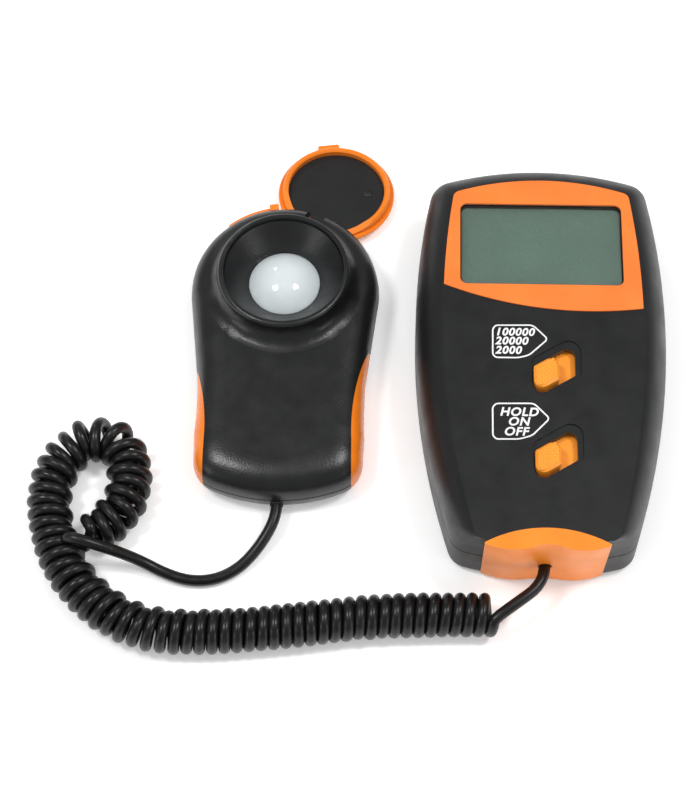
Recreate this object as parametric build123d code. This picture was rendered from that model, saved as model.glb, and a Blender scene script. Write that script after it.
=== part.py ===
from build123d import *
import os
from math import cos, hypot, pi, radians, sin, tan

# Hand-held light meter with a separate light probe, joined by a curly cord.
# Millimetres. The origin is the centre of the meter's back face, on the surface that the meter
# and the probe lie on. +X is to the meter's right, +Y towards its display end, +Z up out of its face.

# ---- meter case: outline at its widest, and the raised face plate's outline ----
# Each outline is four arcs through corner and middle points, given as half widths and heights.
METER_TOP_CORNER = (30.6, 56.0)
METER_WIDEST = (35.0, 8.0)
METER_BOTTOM_CORNER = (24.4, -55.2)
METER_TOP_Y = 61.2
METER_BOTTOM_Y = -58.8
METER_CORNER_R = 6.0
FACE_TOP_CORNER = (25.0, 48.6)
FACE_WIDEST = (27.9, 12.0)
FACE_BOTTOM_CORNER = (18.6, -58.6)
FACE_TOP_Y = 52.9
FACE_BOTTOM_Y = -59.6
FACE_CORNER_R = 2.6
WALL = 2.0
SEAM_Z = 13.0            # where the front and rear shells meet
BEVEL_Z = 15.5           # where the straight side wall ends and the bevel starts
FACE_Z = 28.0            # the face plate's surface
REAR_EDGE_R = 3.2
SEAM_GROOVE = 0.35
TONGUE_H = 1.3           # height of the rear shell's tongue inside the front shell
TONGUE_GAP = 0.1

# ---- display ----
BEZEL_T = 1.4
BEZEL_PROUD = 0.35
BEZEL_INSET = 0.35
WINDOW_X0, WINDOW_X1 = -22.9, 22.5
WINDOW_Y0, WINDOW_Y1 = 18.3, 44.6
WINDOW_CORNER_R = 2.0
WINDOW_T = 0.9
WINDOW_SUNK = 0.5
WINDOW_LEDGE = 0.35      # ledge of the front shell that carries the window's edge

# ---- inside the meter ----
BOARD_Z0, BOARD_T = 19.9, 1.2
BOARD_Z1 = BOARD_Z0 + BOARD_T
BOARD_SCREWS = [(26.0, 6.0), (-26.0, 6.0), (14.5, -47.5), (-14.5, -47.5)]
GLASS_HALF_W, GLASS_Y0, GLASS_Y1 = 22.9, 17.9, 45.0
GLASS_Z0, GLASS_Z1 = 24.5, 25.9
GLASS_WALL = 1.2         # wall of the frame round the glass
BATTERY_W, BATTERY_L, BATTERY_T = 26.0, 48.3, 16.2
BATTERY_Y0 = -52.8
BATTERY_Z0 = 3.4
DOOR_HALF_W = 17.0
DOOR_TOP_Y = -3.0
DOOR_T = 1.3
CASE_SCREWS = [(24.6, 45.6), (-24.6, 45.6), (21.4, -46.0), (-21.4, -46.0)]
BOSS_R = 2.7

# ---- slide switches ----
RANGE_SWITCH_Y = -8.5
POWER_SWITCH_Y = -34.0
SWITCH_X = 2.65          # middle of the slot
SLOT_HALF_W = 5.8        # half width of the slot, across the meter
SLOT_HALF_H = 5.0        # half height of its straight ends
SLOPE = 32.0             # direction of the slide, degrees from +X
KNOB_HALF_W = 3.45
KNOB_HALF_H = 4.1
KNOB_REST_X = -2.2       # the knob's middle from the slot's, at rest in the lower left
KNOB_TOP_Z = 29.8
SKIRT_Z0, SKIRT_Z1 = 23.7, 24.9
SWITCH_BODY = (13.0, 5.6, 2.4)
ACTUATOR_W = 2.0

# ---- cable guard and the cord's exit from the meter ----
GUARD_HALF_W = 16.5
GUARD_Z0, GUARD_Z1 = 1.6, 28.2
GUARD_LEAN = 2.9         # the guard's top edge stands this much further out than its bottom edge
CORD_EXIT_X, CORD_EXIT_Z = 0.3, 11.2
GROMMET_R = 1.85

# ---- light probe, in its own frame: x from its middle line, y along its length ----
PROBE_X = -72.6          # the probe's middle line
HEAD_Y = 26.0            # centre of the round head, the collar, the dish and the dome
HEAD_SIDE = (26.9, 24.0)
HEAD_END_Y = 53.0
NECK = (25.35, 11.0)
WAIST_TOP = (23.7, -3.0)
WAIST = (23.45, -11.0)
WAIST_END = (23.7, -20.0)
HANDLE_CORNER = (23.2, -33.4)
HANDLE_END_Y = -39.6
HANDLE_CORNER_R = 9.0
PROBE_SEAM_Z = 8.0
HANDLE_TOP_Z = 15.75
COLLAR_Z = 22.0
BLEND_R = 5.0            # rounding between the collar's foot and the body
MOUTH_R = 17.0
DISH_FLOOR_Z = 13.7
DOME_R = 10.1
DOME_H = 4.9
DOME_WALL = 1.4
SHROUD_R = 16.9          # light-tight ring wall round the sensor
SENSOR_BOARD_Z = 5.8
PROBE_WALL = 2.0
PROBE_EXIT_Z = 5.2
PROBE_SCREWS = [(15.5, -28.0), (-15.5, -28.0), (20.3, 10.5), (-20.3, 10.5)]
SENSOR_SCREWS = [(12.0, 26.0), (-12.0, 26.0)]

# ---- cap, drawn closed on the collar and then swung open by CAP_OPEN ----
CAP_R = 17.2
CAP_SEAT_Z = 22.1
CAP_TOP_Z = 23.7
CAP_COLLAR_R = 16.0
CAP_COLLAR_H = 2.4
CAP_INNER_R = 14.25
HINGE_AZIMUTH = 20.0     # direction of the hinge from the head's centre, clockwise from +Y
HINGE_OUT = 20.35        # from the head's centre to the hinge pin
HINGE_Z = 13.4
HINGE_PIN_R = 1.0
BARREL_R = 2.0
HINGE_ARM_W = 4.4
NOTCH_W = 5.6
CHEEK_T = 1.5
CAP_OPEN = 184.6         # degrees from closed to lying open behind the head
TAB_AZIMUTH = -9.0       # direction of the cap's finger tab when it lies open

# ---- cord: routes of the wire and of the coil's middle line ----
CORD_D = 3.2
COIL_D = 12.4
LYING_Z = 6.25           # height of the coil's middle line
FLOOR_Z = 1.65           # height of the wire where it lies on the surface
METER_LEAD = [(0.3, -58.0, 11.2), (0.3, -62.4, 11.2), (-2.8, -67.2, 9.3), (-8.3, -71.35, LYING_Z),
              (-14.5, -71.4, LYING_Z)]
COIL = [(-14.5, -71.4), (-42.0, -71.6), (-66.0, -75.6), (-90.0, -78.2), (-108.5, -77.8),
        (-121.9, -68.6), (-131.0, -53.5), (-134.6, -40.0), (-133.6, -30.5), (-130.0, -23.2),
        (-122.5, -19.6), (-115.5, -22.5), (-112.9, -30.5), (-113.2, -38.5), (-116.0, -45.0),
        (-119.0, -47.6)]
COIL_SPLITS = (3, 7)     # the coil's solid is cut in the middle of the runs after these points
PROBE_LEAD = [(-119.0, -47.6, LYING_Z), (-121.85, -50.07, LYING_Z), (-121.6, -54.6, 5.2),
              (-116.9, -57.3, 3.4), (-109.8, -58.2, 1.9), (-101.5, -60.0, FLOOR_Z),
              (-92.4, -60.6, FLOOR_Z), (-83.8, -57.6, FLOOR_Z), (-77.6, -51.6, 2.6),
              (-72.6, -45.4, 5.2), (-72.6, -40.0, 5.2)]


def mix(a, b, share):
    return tuple(p + (q - p) * share for p, q in zip(a, b))


def four_arc_face(top, wide, bottom, top_y, bottom_y, corner_r, z):
    """Closed outline of four arcs, symmetric about x = 0, with rounded corners, at height z."""
    right = ThreePointArc(top, wide, bottom)
    base = ThreePointArc(bottom, (0, bottom_y), (-bottom[0], bottom[1]))
    left = ThreePointArc((-bottom[0], bottom[1]), (-wide[0], wide[1]), (-top[0], top[1]))
    crown = ThreePointArc((-top[0], top[1]), (0, top_y), top)
    face = make_face([right, base, left, crown])
    return Pos(0, 0, z) * fillet(face.vertices(), corner_r)


def meter_face(z, bevel=0.0, inset=0.0):
    """The meter's outline at height z: bevel 0 is the widest, 1 the face plate's edge."""
    top = mix(METER_TOP_CORNER, FACE_TOP_CORNER, bevel)
    wide = mix(METER_WIDEST, FACE_WIDEST, bevel)
    bottom = mix(METER_BOTTOM_CORNER, FACE_BOTTOM_CORNER, bevel)
    top_y, bottom_y = mix((METER_TOP_Y, METER_BOTTOM_Y), (FACE_TOP_Y, FACE_BOTTOM_Y), bevel)
    corner_r = METER_CORNER_R + (FACE_CORNER_R - METER_CORNER_R) * bevel
    return four_arc_face(
        (top[0] - inset, top[1] - inset), (wide[0] - inset, wide[1]),
        (bottom[0] - inset, bottom[1] + inset), top_y - inset, bottom_y + inset,
        max(corner_r - inset, 0.6), z,
    )


def meter_upper(inset, top_z):
    """Solid between the seam and top_z that follows the bevelled front, moved in by inset."""
    heights = [(BEVEL_Z, 0.0), (BEVEL_Z + 4.2, 0.09), (BEVEL_Z + 8.4, 0.36), (FACE_Z, 1.0)]
    shift = FACE_Z - top_z
    sections = [meter_face(z - shift * (z - BEVEL_Z) / (FACE_Z - BEVEL_Z), share, inset)
                for z, share in heights]
    bevelled = loft(sections)
    straight = extrude(meter_face(SEAM_Z, 0.0, inset), BEVEL_Z - SEAM_Z)
    return straight + bevelled


def block(x0, x1, y0, y1, z0, z1):
    """Box between two corners."""
    middle = Pos((x0 + x1) / 2, (y0 + y1) / 2, (z0 + z1) / 2)
    return middle * Box(x1 - x0, y1 - y0, z1 - z0)


def rod(x, y, z0, z1, r):
    """Upright cylinder."""
    return Pos(x, y, (z0 + z1) / 2) * Cylinder(r, z1 - z0)


def slanted(half_w, half_h, z0, z1, x, y, acute_r, blunt_r):
    """Prism with upright sides and ends sloping at SLOPE: the shape of the slots and knobs."""
    rise = half_w * tan(radians(SLOPE))
    corners = [(-half_w, -rise - half_h), (half_w, rise - half_h), (half_w, rise + half_h),
               (-half_w, half_h - rise)]
    prism = Pos(x, y, z0) * extrude(make_face(Polyline(*corners, close=True)), z1 - z0)

    def upright_at(shape, picked):
        return [edge for edge in shape.edges().filter_by(Axis.Z)
                if any(hypot(edge.center().X - x - cx, edge.center().Y - y - cy) < 0.01
                       for cx, cy in picked)]

    prism = fillet(upright_at(prism, corners[::2]), acute_r)
    return fillet(upright_at(prism, corners[1::2]), blunt_r)


def slot(y, grow=0.0, z0=20.0, z1=32.0):
    return slanted(SLOT_HALF_W + grow, SLOT_HALF_H + grow, z0, z1, SWITCH_X, y, 2.3 + grow, 0.9)


def bezel_region(z0, z1):
    """Everything above the display panel's sweeping lower edge."""
    edge = ThreePointArc((-27.7, 18.2), (0, 10.8), (27.7, 11.1))
    rest = Polyline((27.7, 11.1), (40, 11.6), (40, 70), (-40, 70), (-40, 21.4), (-27.7, 18.2))
    return Pos(0, 0, z0) * extrude(make_face([edge, rest]), z1 - z0)


def window_prism(inset, z0, z1):
    width = WINDOW_X1 - WINDOW_X0 - 2 * inset
    height = WINDOW_Y1 - WINDOW_Y0 - 2 * inset
    face = RectangleRounded(width, height, WINDOW_CORNER_R)
    middle = Pos((WINDOW_X0 + WINDOW_X1) / 2, (WINDOW_Y0 + WINDOW_Y1) / 2, z0)
    return middle * extrude(face, z1 - z0)


BEZEL_Z0 = FACE_Z + BEZEL_PROUD - BEZEL_T


def bezel_blank():
    plate = extrude(meter_face(BEZEL_Z0, 1.0, BEZEL_INSET), BEZEL_T)
    return plate & bezel_region(BEZEL_Z0 - 1, FACE_Z + 2)


def guard_arch(ends):
    """Inner edge of the cable guard, from its right end round to its left end."""
    w = GUARD_HALF_W
    return [Line((w, ends), (w, ends + 0.4)),
            ThreePointArc((w, ends + 0.4), (0.3, -55.4), (-w, ends + 0.4)),
            Line((-w, ends + 0.4), (-w, ends))]


def guard_outline(z, out):
    """The cable guard's plan at height z: arched inner edge, two-lobed outer edge moved out by out."""
    w = GUARD_HALF_W
    ends, lobes, valley = -57.3 - out, -59.0 - 0.95 * out, -58.6 - 0.5 * out
    wave = [ThreePointArc((-w, ends), (-9.6, lobes), (-3.6, (lobes + valley) / 2)),
            ThreePointArc((-3.6, (lobes + valley) / 2), (0.3, valley), (4.2, (lobes + valley) / 2)),
            ThreePointArc((4.2, (lobes + valley) / 2), (9.9, lobes), (w, ends))]
    return Pos(0, 0, z) * make_face(wave + guard_arch(ends))


def guard_opening(z, out):
    """The shells' opening round the guard at height z, clear in front of its wavy face."""
    ends = -57.3 - out
    front = Polyline((-GUARD_HALF_W, ends), (-GUARD_HALF_W, -66), (GUARD_HALF_W, -66), (GUARD_HALF_W, ends))
    return Pos(0, 0, z) * make_face([front, *guard_arch(ends)])


def guard_blank():
    """The cable guard's block, leaning outwards to its top."""
    return loft([guard_outline(GUARD_Z0, 0.0), guard_outline(GUARD_Z1, GUARD_LEAN)], ruled=True)


def guard_space():
    return loft([guard_opening(GUARD_Z0, 0.0), guard_opening(GUARD_Z1, GUARD_LEAN)], ruled=True)


def meter_front_shell():
    shell = meter_upper(0.0, FACE_Z) - meter_upper(WALL, FACE_Z - WALL)
    rebate = extrude(meter_face(SEAM_Z, 0.0, WALL - 0.9), TONGUE_H + TONGUE_GAP)
    shell -= rebate
    shell -= bezel_blank()
    shell -= window_prism(WINDOW_LEDGE, 20, 32)
    for y in (RANGE_SWITCH_Y, POWER_SWITCH_Y):
        shell -= slot(y)
        shallow = slanted(SLOT_HALF_W + 0.9, SLOT_HALF_H + 1.7, FACE_Z - 0.45, 32,
                          SWITCH_X + 0.7, y + 1.1, 3.4, 1.6)
        shell -= shallow
    for x, y in CASE_SCREWS:
        boss = rod(x, y, SEAM_Z + 0.3, FACE_Z - WALL + 0.3, BOSS_R) - rod(x, y, 12, 23.5, 1.1)
        shell += boss & meter_upper(1.0, FACE_Z - 1.0)
    for x, y in BOARD_SCREWS:
        shell += rod(x, y, BOARD_Z1, FACE_Z - WALL + 0.3, 2.2) - rod(x, y, BOARD_Z1 - 1, 24.8, 0.8)
    reach = GLASS_WALL + 0.1
    shell -= block(-GLASS_HALF_W - reach, GLASS_HALF_W + reach, GLASS_Y0 - reach, GLASS_Y1 + reach,
                   BOARD_Z1 - 0.2, FACE_Z - WALL)
    return largest(shell - guard_space())


def door_plate(grow, z0, z1, end_y):
    """The battery door's outline: straight sides, rounded top corners, open towards the end."""
    width = 2 * (DOOR_HALF_W + grow)
    length = DOOR_TOP_Y + grow - end_y
    plate = Pos(0, end_y + length / 2, (z0 + z1) / 2) * Box(width, length, z1 - z0)
    corners = plate.edges().filter_by(Axis.Z).sort_by(Axis.Y)[2:]
    return fillet(corners, 2.0 + grow)


def meter_rear_shell():
    body = extrude(meter_face(0.0), SEAM_Z)
    body = fillet(body.faces().sort_by(Axis.Z)[0].edges(), REAR_EDGE_R)
    groove = extrude(meter_face(SEAM_Z - SEAM_GROOVE), SEAM_GROOVE)
    body -= groove - extrude(meter_face(SEAM_Z - SEAM_GROOVE, 0.0, SEAM_GROOVE), SEAM_GROOVE)
    body += extrude(meter_face(SEAM_Z, 0.0, WALL - 0.9 + TONGUE_GAP), TONGUE_H)
    body -= extrude(meter_face(WALL, 0.0, WALL), SEAM_Z)
    shelf = block(-19.2, 19.2, -54.5, -0.8, WALL - 0.1, 3.2)
    body += shelf
    body -= door_plate(0.15, -1, DOOR_T + 0.35, -62)
    body -= block(-13.6, 13.6, -53.4, -4.0, 0, 4)
    for x, y in CASE_SCREWS:
        body += rod(x, y, 1, SEAM_Z + 0.1, 3.3)
        body -= rod(x, y, -1, 20, 1.55)
        body -= rod(x, y, -1, 6.0, 2.6)
    return largest(body - guard_space())


def largest(shape):
    return shape.solids().sort_by(SortBy.VOLUME)[-1]


def display_bezel():
    return bezel_blank() - window_prism(0, 20, 32)


def display_window():
    top = FACE_Z + BEZEL_PROUD - WINDOW_SUNK
    return window_prism(0.05, top - WINDOW_T, top)


def display_glass():
    glass = block(-GLASS_HALF_W, GLASS_HALF_W, GLASS_Y0, GLASS_Y1, GLASS_Z0, GLASS_Z1)
    return chamfer(glass.edges().filter_by(Axis.Z), 0.4)


def display_frame():
    """Frame that holds the glass above the board."""
    x, y0, y1 = GLASS_HALF_W, GLASS_Y0, GLASS_Y1
    t = GLASS_WALL
    frame = block(-x - t, x + t, y0 - t, y1 + t, BOARD_Z1, GLASS_Z1)
    frame = fillet(frame.edges().filter_by(Axis.Z), t)
    return frame - block(-x - 0.05, x + 0.05, y0 - 0.05, y1 + 0.05, BOARD_Z1 - 1, GLASS_Z1 + 1)


def contact_strip(y):
    """Conductive rubber strip between the board and the glass."""
    return block(2 - GLASS_HALF_W, GLASS_HALF_W - 2, y - 1.0, y + 1.0, BOARD_Z1, GLASS_Z0)


def main_board():
    face = four_arc_face((25.6, 49.6), (30.2, 8.0), (19.0, -50.0), 53.0, -51.6, 3.0, BOARD_Z0)
    board = extrude(face, BOARD_T)
    for x, y in CASE_SCREWS:
        board -= rod(x, y, 0, 30, BOSS_R + 0.7)
    for x, y in BOARD_SCREWS:
        board -= rod(x, y, 0, 30, 1.1)
    return largest(board)


def board_screws():
    screws = []
    for x, y in BOARD_SCREWS:
        screw = rod(x, y, BOARD_Z0 - 1.2, BOARD_Z0, 1.8) + rod(x, y, BOARD_Z0, BOARD_Z1 + 2.6, 0.75)
        screws.append(screw - block(x - 1.2, x + 1.2, y - 0.2, y + 0.2, 0, BOARD_Z0 - 0.7))
    return screws


def case_screws():
    screws = []
    for x, y in CASE_SCREWS:
        screw = rod(x, y, 4.2, 6.0, 2.3) + rod(x, y, 6.0, 20.0, 1.05)
        cross = block(x - 1.3, x + 1.3, y - 0.25, y + 0.25, 4, 5)
        screws.append(screw - cross - Pos(x, y, 0) * Rot(0, 0, 90) * Pos(-x, -y, 0) * cross)
    return screws


def slope_point(x, y, along):
    """A point moved along the switches' sloping direction by a distance along X."""
    return x + along, y + along * tan(radians(SLOPE))


def knob(y):
    """Raised hexagonal knob with a dotted grip, on a skirt that slides under the face plate."""
    kx, ky = slope_point(SWITCH_X, y, KNOB_REST_X)
    body = slanted(KNOB_HALF_W, KNOB_HALF_H, SKIRT_Z0, KNOB_TOP_Z, kx, ky, 2.3, 0.9)
    body = chamfer(body.faces().sort_by(Axis.Z)[-1].edges(), 0.7)
    skirt = slanted(SLOT_HALF_W + 2.9, SLOT_HALF_H + 0.8, SKIRT_Z0, SKIRT_Z1,
                    kx + 0.6, ky + 0.4, 1.2, 0.8)
    body += skirt
    for row in range(4):
        for column in range(3):
            dot_x = kx + (column - 1) * 1.75
            dot_y = ky + (row - 1.5) * 1.75 + (column - 1) * 1.1
            body += Pos(dot_x, dot_y, KNOB_TOP_Z) * scale(Sphere(0.48), (1, 1, 0.5))
    pocket = Pos(kx, ky, SKIRT_Z0) * Rot(0, 0, SLOPE) * Box(2.2, 2.1, 2.2)
    return body - pocket


def switch_body(y):
    length, width, height = SWITCH_BODY
    place = Pos(SWITCH_X, y, BOARD_Z1 + height / 2) * Rot(0, 0, SLOPE)
    body = place * Box(length, width, height)
    return body - place * Pos(0, 0, 0.8) * Box(8.2, 2.4, height)


def switch_actuator(y):
    kx, ky = slope_point(SWITCH_X, y, KNOB_REST_X)
    z0, z1 = BOARD_Z1 + 1.0, SKIRT_Z0 + 1.0
    return Pos(kx, ky, (z0 + z1) / 2) * Rot(0, 0, SLOPE) * Box(ACTUATOR_W, 1.9, z1 - z0)


def converter_chip():
    """Round black blob that seals the display driver, on the board's underside."""
    blob = Pos(0, 32, BOARD_Z0) * scale(Sphere(7.0), (1, 1, 0.22))
    return blob & block(-9, 9, 20, 42, BOARD_Z0 - 3, BOARD_Z0)


def amplifier_chip():
    chip = block(12, 16, 26, 31, BOARD_Z0 - 1.6, BOARD_Z0)
    for i in range(4):
        pin_y = 26.6 + 1.27 * i
        chip += block(10.9, 17.1, pin_y - 0.2, pin_y + 0.2, BOARD_Z0 - 0.7, BOARD_Z0)
    return chip


def trimmers():
    """Calibration trimmers on the board's underside."""
    made = []
    for i in range(3):
        x, y = -20.0, 20.0 + 8.5 * i
        box = block(x - 3.2, x + 3.2, y - 3.2, y + 3.2, BOARD_Z0 - 4.0, BOARD_Z0)
        dial = rod(x, y, BOARD_Z0 - 4.5, BOARD_Z0 - 4.0, 2.2)
        made.append(box + dial - block(x - 1.8, x + 1.8, y - 0.3, y + 0.3, BOARD_Z0 - 5, BOARD_Z0 - 4.1))
    return made


def capacitors():
    made = []
    for x, y in [(20.5, 14.0), (20.5, 22.5), (8.0, 46.0)]:
        made.append(rod(x, y, BOARD_Z0 - 6.0, BOARD_Z0, 2.5))
    return made


def battery():
    y1 = BATTERY_Y0 + BATTERY_L
    case = block(-BATTERY_W / 2, BATTERY_W / 2, BATTERY_Y0, y1, BATTERY_Z0, BATTERY_Z0 + BATTERY_T)
    case = fillet(case.edges().filter_by(Axis.Y), 2.0)
    for side in (-1, 1):
        case += Pos(side * 6.35, y1 + 1.2, BATTERY_Z0 + BATTERY_T / 2) * Rot(90, 0, 0) * Cylinder(2.9, 2.6)
    return case


def battery_snap():
    """Snap connector that grips the battery's two studs."""
    y0 = BATTERY_Y0 + BATTERY_L + 0.1
    z = BATTERY_Z0 + BATTERY_T / 2
    snap = block(-12.4, 12.4, y0, y0 + 3.6, z - 5.4, z + 5.4)
    snap = fillet(snap.edges().filter_by(Axis.Y), 3.0)
    for side in (-1, 1):
        snap -= Pos(side * 6.35, y0 + 1.0, z) * Rot(90, 0, 0) * Cylinder(3.0, 3.4)
    return snap


def battery_wires():
    wires = []
    y0 = BATTERY_Y0 + BATTERY_L + 3.7
    z = BATTERY_Z0 + BATTERY_T / 2
    for side in (-1, 1):
        x = side * 3.0
        path = FilletPolyline((x, y0, z), (x, y0 + 4.0, z), (x, y0 + 4.0, BOARD_Z0), radius=1.6)
        wires.append(sweep(Plane(path @ 0, z_dir=path % 0) * Circle(0.6), path=path))
    return wires


def battery_foam():
    return block(-11.5, 11.5, -49.0, -8.0, DOOR_T + 0.45, BATTERY_Z0 - 0.05)


def battery_door():
    door = door_plate(0.0, 0.2, 0.2 + DOOR_T, -58.4)
    door &= extrude(meter_face(0.0, 0.0, 1.6), WALL)
    for i in range(4):
        y = -9.0 - 2.0 * i
        door -= block(-8.0, 8.0, y - 0.5, y + 0.5, -1, 0.6)
    return door


def cable_guard():
    guard = guard_blank()
    hollow = Pos(0, 0, 3.6) * extrude(make_face(
        [ThreePointArc((-11.5, -57.0), (0.3, -53.5), (12.1, -57.0)), Line((12.1, -57.0), (12.1, -57.1)),
         Line((12.1, -57.1), (-11.5, -57.1)), Line((-11.5, -57.1), (-11.5, -57.0))]), 20)
    guard -= hollow
    return guard - Pos(CORD_EXIT_X, -58, CORD_EXIT_Z) * Rot(90, 0, 0) * Cylinder(GROMMET_R + 0.05, 12)


def meter_strain_relief():
    """Rubber grommet that holds the cord in the guard, with a flange inside."""
    sleeve = Pos(CORD_EXIT_X, -56.2, CORD_EXIT_Z) * Rot(90, 0, 0) * Cylinder(GROMMET_R, 3.6)
    flange = Pos(CORD_EXIT_X, -53.8, CORD_EXIT_Z) * Rot(90, 0, 0) * Cylinder(3.6, 1.6)
    return sleeve + flange


def probe_face(z, inset):
    """The probe's outline in its own frame, moved in by inset."""
    side = (HEAD_SIDE[0] - inset, HEAD_SIDE[1])
    neck, top = (NECK[0] - inset, NECK[1]), (WAIST_TOP[0] - inset, WAIST_TOP[1])
    waist, end = (WAIST[0] - inset, WAIST[1]), (WAIST_END[0] - inset, WAIST_END[1])
    corner = (HANDLE_CORNER[0] - inset, HANDLE_CORNER[1] + inset)

    def flip(p):
        return -p[0], p[1]

    lines = [ThreePointArc(flip(side), (0, HEAD_END_Y - inset), side),
             ThreePointArc(side, neck, top), ThreePointArc(top, waist, end), Line(end, corner),
             ThreePointArc(corner, (0, HANDLE_END_Y + inset), flip(corner)),
             Line(flip(corner), flip(end)), ThreePointArc(flip(end), flip(waist), flip(top)),
             ThreePointArc(flip(top), flip(neck), flip(side))]
    face = make_face(lines)
    corners = [v for v in face.vertices() if abs(v.Y - corner[1]) < 0.01]
    return Pos(0, 0, z) * fillet(corners, HANDLE_CORNER_R - 0.55 * max(inset, 0))


def probe_body(inset, z_low, z_high):
    """Handle and head's flank as one rounded body, without the collar."""
    upper = [(PROBE_SEAM_Z, 0.0), (11.0, 0.5), (13.7, 2.2), (15.0, 4.4), (15.5, 6.2), (HANDLE_TOP_Z, 8.6)]
    lower = [(0.0, 4.6), (0.9, 2.6), (3.2, 0.8), (PROBE_SEAM_Z, 0.0)]

    def squeeze(z):
        return z_low + (z_high - z_low) * z / HANDLE_TOP_Z

    top = loft([probe_face(squeeze(z), i + inset) for z, i in upper])
    base = loft([probe_face(squeeze(z), i + inset) for z, i in lower])
    return top + base


def turned(points, close=True):
    """Solid of revolution about the head's upright axis, from (radius, height) points."""
    face = make_face(Polyline(*[(r, 0, z) for r, z in points], close=close))
    return Pos(0, HEAD_Y, 0) * revolve(face, Axis.Z, 360)


def head_collar():
    """The low collar round the dish, with a hollow foot that runs out on the body, as one turned solid."""
    foot = Spline((22.4, 0, 14.0), (21.4, 0, 15.2), (20.2, 0, 16.2), (19.4, 0, 17.5), (18.95, 0, 19.2),
                  (18.7, 0, 20.8))
    lip = ThreePointArc((18.7, 0, 20.8), (18.35, 0, 21.7), (17.6, 0, COLLAR_Z))
    rest = Polyline((17.6, 0, COLLAR_Z), (0, 0, COLLAR_Z), (0, 0, 9.0), (22.4, 0, 9.0), (22.4, 0, 14.0))
    return Pos(0, HEAD_Y, 0) * revolve(make_face([foot, lip, rest]), Axis.Z, 360)


def head_cavity():
    return turned([(0, 6.0), (23.6, 6.0), (23.4, 11.0), (21.5, 13.6), (19.6, 14.4), (0, 14.4)])


def hinge_frame():
    """Place whose x runs along the hinge pin and y outward, at the head's centre."""
    return Pos(0, HEAD_Y, 0) * Rot(0, 0, -HINGE_AZIMUTH)


def hinge_notch():
    notch = block(-NOTCH_W / 2, NOTCH_W / 2, HINGE_OUT - BARREL_R - 0.3, 40, -1, 15.8)
    notch += block(-NOTCH_W / 2, NOTCH_W / 2, 19.3, 40, 15.0, 30)
    return hinge_frame() * notch


def hinge_brackets():
    """Orange pieces between the shells: the left one has an outer band and an end lug."""
    plate = Pos(0, HEAD_Y, PROBE_SEAM_Z) * extrude(make_face(
        [ThreePointArc(bearing(26.6, -47), bearing(26.6, 0), bearing(26.6, 47)),
         Line(bearing(26.6, 47), bearing(22.0, 47)),
         ThreePointArc(bearing(22.0, 47), bearing(22.0, 0), bearing(22.0, -47)),
         Line(bearing(22.0, -47), bearing(26.6, -47))]), 1.4)
    band = Pos(0, HEAD_Y, PROBE_SEAM_Z) * extrude(make_face(
        [ThreePointArc(bearing(27.3, -40), bearing(27.6, -24), bearing(27.8, -7)),
         Line(bearing(27.8, -7), bearing(25.2, -7)),
         ThreePointArc(bearing(25.2, -7), bearing(25.2, -24), bearing(25.2, -40)),
         Line(bearing(25.2, -40), bearing(27.3, -40))]), 2.6)
    band = fillet(band.edges().filter_by(Axis.Z).sort_by(Axis.X)[:2], 0.9)
    lug = Pos(0, HEAD_Y, 0) * Rot(0, 0, 8.6) * Pos(0, 27.2, PROBE_SEAM_Z + 2.4)
    eye = lug * Rot(0, 90, 0) * Cylinder(1.7, 2.6) + lug * Pos(0, 0, -1.2) * Box(2.6, 2.4, 2.6)
    eye -= lug * Rot(0, 90, 0) * Cylinder(0.6, 4)
    cheeks = []
    for side in (-1, 1):
        x = side * (NOTCH_W / 2 + CHEEK_T / 2)
        cheek = Pos(x, 20.3, (PROBE_SEAM_Z + 14.6) / 2) * Box(CHEEK_T, 4.0, 14.6 - PROBE_SEAM_Z)
        cheeks.append(hinge_frame() * cheek)
    both = plate + band + eye + cheeks[0] + cheeks[1] - hinge_notch()
    both -= hinge_frame() * pin_rod(HINGE_PIN_R, NOTCH_W + 2 * CHEEK_T + 2)
    return both.solids().sort_by(SortBy.VOLUME)[-2:][::-1]


def bearing(radius, azimuth):
    """Point at a radius and an azimuth clockwise from +Y."""
    return radius * sin(radians(azimuth)), radius * cos(radians(azimuth))


def pin_rod(r, length):
    return Pos(0, HINGE_OUT, HINGE_Z) * Rot(0, 90, 0) * Cylinder(r, length)


def hinge_pin():
    return hinge_frame() * pin_rod(HINGE_PIN_R, NOTCH_W + 2 * CHEEK_T)


def grip_region(side):
    """Plan region of a side grip, outside a curve that runs down the handle."""
    tip = 7.5 if side > 0 else 3.0
    inner = [ThreePointArc((25.2, tip), (20.9, tip - 16.5), (20.3, -24.0)), Line((20.3, -24.0), (20.5, -40)),
             Line((20.5, -40), (30, -40)), Line((30, -40), (30, tip)), Line((30, tip), (25.2, tip))]
    region = Pos(0, 0, 1.4) * extrude(make_face(inner), 14)
    return region if side > 0 else mirror(region, Plane.YZ)


def cap_rest_scoop():
    """Hollow under the head's back that the open cap tucks into."""
    return hinge_frame() * Pos(0, HINGE_OUT + 19.2, 3.0) * Cylinder(CAP_R + 0.9, 11.0)


def probe_solid():
    """The probe's outside as one solid, with the collar's foot blended into the body."""
    solid = probe_body(0.0, 0.0, HANDLE_TOP_Z) + head_collar()
    place = Vector(0, HEAD_Y - 20.7, HANDLE_TOP_Z)
    join = solid.edges().sort_by(lambda edge: (edge @ 0.5 - place).length)[0]
    return solid.fillet(BLEND_R, [join])


def probe_hollow():
    hollow = probe_body(PROBE_WALL, PROBE_WALL, HANDLE_TOP_Z - PROBE_WALL)
    return hollow + head_cavity()


def cord_bore(r):
    """Bore for the grommet through the handle's end, with a pocket for its flange."""
    bore = Pos(0, HANDLE_END_Y + 1.0, PROBE_EXIT_Z) * Rot(90, 0, 0) * Cylinder(r, 9.0)
    return bore + Pos(0, HANDLE_END_Y + 4.5, PROBE_EXIT_Z) * Rot(90, 0, 0) * Cylinder(3.15, 3.4)


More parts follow.
